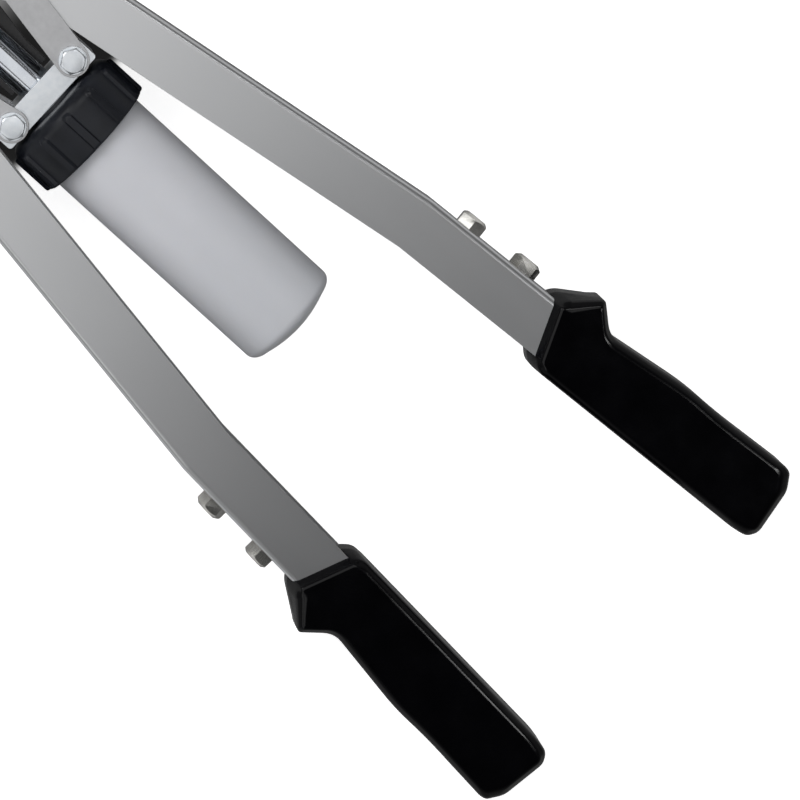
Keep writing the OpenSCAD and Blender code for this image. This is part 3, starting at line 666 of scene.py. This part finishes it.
def bottle_profile():
    """Outer wall from the mouth to the dome and inner wall back, as points (x, r)."""
    low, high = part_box("bottle")

    def wall_line(inset):
        """Straight side, round corner and dome. The dome's x rises with the square of its
        distance from the axis."""
        radius, corner, end = high.z - inset, BOTTLE_CORNER - inset, low.x + inset
        side_x = np.linspace(high.x, end + BOTTLE_DOME + corner, 14)
        side = np.stack([side_x, np.full(14, radius)], -1)
        bend = arc((end + BOTTLE_DOME + corner * 0.75, radius - corner), corner, 90, 168, 9)
        out = np.linspace(bend[-1][1] - DOME_STEP, 0.0, 18)
        drop = bend[-1][0] - end
        crown = np.stack([end + drop * (out / out[0]) ** 2, out], -1)
        return np.concatenate([side, bend, crown])

    return np.concatenate([wall_line(0.0), wall_line(BOTTLE_WALL)[::-1]])


corners, faces = turned_grid(bottle_profile(), BOTTLE_COLUMNS)
bottle = new_piece("bottle_blown", corners, faces)
turn_outwards(bottle, merge=1e-6)
finish_piece(bottle, "bottle")
print("bottle:", count(bottle), "triangles")

# %% [markdown]
# ## The cap
#
# The cap has twelve raised ribs for the fingers. Each starts with a round end behind the
# smooth shoulder and runs to the rear edge. The rib is a bump in the radius: one where
# the point is within half a rib's width of its middle line, and zero outside, with a
# steep smooth flank between. The front face has a low boss that rests on the yoke.

# %% Make the cap
RIBS = 12
RIB_WIDTH = 0.0038
RIB_DEPTH = 0.0014
RIB_FLANK = 0.0007
RIB_REAR = 0.0012
RIB_COLUMNS = 40
PANEL_ROWS = 40
CAP_FLOOR = 0.004
BOSS_RADIUS = 0.015
BOSS_HEIGHT = 0.00145
BOSS_EDGE = 0.0004
BOSS_ROOT = 0.0005
SHOULDER = 0.006
REAR_EDGE = 0.0006
MOUTH_EDGE = 0.0003
TUBE_GAP = 0.0001
BOTTLE_GAP = 0.0003


def make_cap():
    """Profile of the cap from its bore over the boss, shoulder, ribs and rear edge back to
    the inside, turned about X with the ribs added to its radius."""
    low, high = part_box("bottle_cap")
    outer = high.z
    panel = outer - RIB_DEPTH
    front, back = high.x, low.x
    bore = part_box("pull_tube")[1].z + TUBE_GAP
    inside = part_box("bottle")[1].z + BOTTLE_GAP
    floor_x = front - CAP_FLOOR
    face = front - BOSS_HEIGHT
    rib_start = face - SHOULDER
    panel_x = np.linspace(rib_start - 0.0002, back + 0.001, PANEL_ROWS)
    profile = np.concatenate([
        [[floor_x, bore], [front, bore], [front, BOSS_RADIUS - BOSS_EDGE]],
        arc((front - BOSS_EDGE, BOSS_RADIUS - BOSS_EDGE), BOSS_EDGE, 0, 90, 4),
        [[face + BOSS_ROOT, BOSS_RADIUS]],
        arc((face + BOSS_ROOT, BOSS_RADIUS + BOSS_ROOT), BOSS_ROOT, 270, 180, 4),
        arc((face - SHOULDER, panel - SHOULDER), SHOULDER, 0, 90, 14),
        np.stack([panel_x, np.full(PANEL_ROWS, panel)], -1),
        arc((back + REAR_EDGE, panel - REAR_EDGE), REAR_EDGE, 90, 180, 5),
        [[back, inside + MOUTH_EDGE], [back + MOUTH_EDGE, inside], [floor_x, inside]],
    ])

    def ribbed(a, x, r):
        """Radius with ribs: r plus depth times a smooth step of the distance to the rib.
        The rib ends at the rear edge in a quarter circle and fades out 2 to 4 mm under
        the panel."""
        pitch = 2 * math.pi / RIBS
        across = ((a + pitch / 2) % pitch - pitch / 2) * panel
        ahead = np.maximum(x - rib_start, 0)
        beyond = np.hypot(across, ahead) - RIB_WIDTH / 2
        step = np.clip(0.5 - beyond / RIB_FLANK, 0, 1)
        step = step * step * (3 - 2 * step)
        on_side = np.clip((r - (panel - 0.004)) / 0.002, 0, 1)
        rear = np.clip((x - back) / RIB_REAR, 0, 1)
        return r + RIB_DEPTH * step * on_side * np.sqrt(rear * (2 - rear))

    corners, faces = turned_grid(profile, RIBS * RIB_COLUMNS, ribbed)
    cap = new_piece("cap_ribbed", corners, faces, 50)
    turn_outwards(cap)
    return finish_piece(cap, "bottle_cap")


cap = make_cap()
print("cap:", count(cap), "triangles")

# %% [markdown]
# ## The jaw spring
#
# A small coil spring pushes the jaws forward inside the nose. It is a wire carried along
# a helix: a circle of the wire's radius stands square to the path at every step.


def make_spring(turns=7, steps=26, sides=10, wire=0.0006):
    """Tube round a helix. With turn angle u the path is (x(u), R cos u, R sin u); the
    circle's directions are the radial one and the one along X."""
    low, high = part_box("jaw_spring")
    coil = high.z - wire
    u = np.linspace(0, 2 * math.pi * turns, turns * steps + 1)
    v = np.arange(sides) * 2 * math.pi / sides
    x = np.linspace(high.x - wire, low.x + wire, len(u))
    radius = coil + wire * np.cos(v)[None, :]
    corners = np.stack([
        x[:, None] + wire * np.sin(v)[None, :],
        radius * np.cos(u)[:, None],
        radius * np.sin(u)[:, None],
    ], -1).reshape(-1, 3)
    i, j = np.meshgrid(np.arange(len(u) - 1), np.arange(sides), indexing="ij")
    m = (j + 1) % sides
    faces = np.stack([i * sides + j, i * sides + m, (i + 1) * sides + m, (i + 1) * sides + j], -1)
    last = (len(u) - 1) * sides
    ends = [tuple(range(sides)), tuple(range(last + sides - 1, last - 1, -1))]
    spring = new_piece("spring_wound", corners, [*faces.reshape(-1, 4).tolist(), *ends])
    turn_outwards(spring)
    finish_piece(spring, "jaw_spring")
    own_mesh(spring)
    return spring


print("spring:", count(make_spring()), "triangles")

# %% [markdown]
# ## The grips
#
# A grip is a thick gloss sleeve over the arm's end. Seen from above it has a slanting
# mouth, a finger guard that rises to a blunt crest, a neck, a gentle palm swell and a
# rounded end. Its upper and lower faces are flat, with a bevel all round. It could be
# carved from a block, but it is easier to see it as one outline that is carried up
# through the grip's height: at the middle it is full, at the bevel it draws in, and at
# the mouth it leans back towards the lip. Every corner of the outline is replaced by a
# short parabola, and so is every corner of the bevel and of the lip. Thin lines of light
# run along them as they do on the real thing.

# %% Outline and height of a grip
ARM_WIDTH = 24.6
ARM_TOP = 12.2
GRIP_TOP = 16.4
GRIP_BEVEL = 2.8
GRIP_LENGTH = 134.0
INNER_WALL = 4.5
NECK = ARM_WIDTH + 2.4
CREST = NECK + 11.0
PALM = ARM_WIDTH + 6.2
CHEEK_TOP = ARM_TOP - 5.0
EDGE_TANGENT = 1.2
LIP_ROUND = 1.1
MOUTH_LEAN = math.tan(math.radians(37))
MOUTH_SKEW = ARM_WIDTH * math.tan(math.radians(18.5))
REAR_SLOPE = math.radians(3.8)
MOUTH_AT = np.array([-353.026, 58.692])


def rounded(points, tangents, steps):
    """Closed outline whose corners are parabolas. A corner P between its neighbours A and
    B becomes (1-s)^2 (P+a) + 2s(1-s) P + s^2 (P+b), where a and b point to A and B and
    have the corner's tangent length, but at most 0.47 of the shorter side."""
    points = np.asarray(points, float)
    to_a = np.roll(points, 1, 0) - points
    to_b = np.roll(points, -1, 0) - points
    len_a, len_b = (np.linalg.norm(d, axis=1)[:, None] for d in (to_a, to_b))
    reach = np.minimum(np.asarray(tangents, float)[:, None], 0.47 * np.minimum(len_a, len_b))
    a, b = reach * to_a / len_a, reach * to_b / len_b
    s = np.linspace(0, 1, steps)[None, :, None]
    curve = (1 - s) ** 2 * (points + a)[:, None] + s**2 * (points + b)[:, None]
    return (curve + 2 * s * (1 - s) * points[:, None]).reshape(-1, 2)


def grip_outline(z, inset):
    """Corners (w, t) of a grip's outline at a height, in millimetres: w outward from the
    arm's inner edge, t back from the mouth. The second list is their tangent lengths. The
    mouth leans back with height. Over the bevel's upper corner it draws back by LIP_ROUND
    times the square of the way along that corner, so the lip is round."""
    lip = (max(abs(z), CHEEK_TOP) - ARM_TOP) * MOUTH_LEAN
    before, after = EDGE_TANGENT * math.sqrt(0.5), EDGE_TANGENT
    way = (inset - GRIP_BEVEL + before) / (before + after)
    lip += LIP_ROUND * min(max(way, 0), 1) ** 2
    back = GRIP_LENGTH - inset
    inner = inset - INNER_WALL
    palm = PALM - inset
    points = [
        (ARM_WIDTH - 1, lip), (ARM_WIDTH + 2.8 - inset, lip + 2.8), (CREST - inset, 16.7),
        (NECK - inset, 28), (palm, 71), (palm - 0.9, 89), (palm, back - 9), (palm - 0.9, back - 6),
        (palm - 8, back - 1.8), (1, back), (inner + 1, back - 3.2), (inner, back - 10),
        (inner, lip + MOUTH_SKEW + INNER_WALL), (0, lip + MOUTH_SKEW),
    ]
    return points, [1, 2.2, 1.6, 5, 12, 9, 3, 1.6, 2.5, 2.5, 2.2, 3, 3, 1.5]


def grip_profile():
    """Heights and insets of the grip's side from its middle up: straight, then a bevel
    at 45 degrees whose two corners are parabolas. The rows at the bottom carry the mouth
    up to the height where its lean begins."""
    low, high = GRIP_TOP - GRIP_BEVEL, GRIP_TOP
    line = rounded(
        [(0, 0), (0, low), (GRIP_BEVEL, high), (14, high), (14, 0)],
        [0, EDGE_TANGENT, EDGE_TANGENT, 0, 0],
        5,
    )
    edge = line[5:15]
    return np.concatenate([[(0, 0), (0, 4), (0, CHEEK_TOP), (0, 10.4)], edge])

# %% Make the grips
def make_grip(side, name, node):
    """Grid of the outline's points by the profile's heights, closed by two flat faces. It
    is set at the arm's rear part, which runs out at REAR_SLOPE."""
    upper = grip_profile()
    profile = np.concatenate([upper[:0:-1] * (1, -1), upper])
    rings = []
    for inset, z in profile:
        points, tangents = grip_outline(z, inset)
        ring = rounded(points, tangents, 6)
        rings.append(np.column_stack([ring, np.full(len(ring), z)]))
    w, t, z = np.stack(rings).transpose(2, 0, 1)
    out = np.array([math.sin(REAR_SLOPE), math.cos(REAR_SLOPE)])
    back = np.array([-math.cos(REAR_SLOPE), math.sin(REAR_SLOPE)])
    x = MOUTH_AT[0] + w * out[0] + t * back[0]
    y = side * (MOUTH_AT[1] + w * out[1] + t * back[1])
    corners = np.stack([x, y, z], -1).reshape(-1, 3) / 1000
    rows, columns = w.shape
    i, j = np.meshgrid(np.arange(rows - 1), np.arange(columns), indexing="ij")
    m = (j + 1) % columns
    faces = np.stack([i * columns + j, i * columns + m, (i + 1) * columns + m,
                      (i + 1) * columns + j], -1).reshape(-1, 4).tolist()
    top = range(rows * columns - 1, (rows - 1) * columns - 1, -1)
    faces += [tuple(range(columns)), tuple(top)]
    grip = new_piece(name, corners, faces)
    turn_outwards(grip, merge=1e-7)
    even = grip.modifiers.new("flat_faces", "WEIGHTED_NORMAL")
    even.keep_sharp = True
    return finish_piece(grip, node)


for side, name, node in ((-1, "grip_upper", "grip_a"), (1, "grip_lower", "grip_b")):
    grip = make_grip(side, name, node)
    low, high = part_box(node)
    off = [round(1000 * (a - b), 2) for a, b in zip(grip.bound_box[0], low)]
    print(name, count(grip), "triangles, off the solid by", off, "mm")
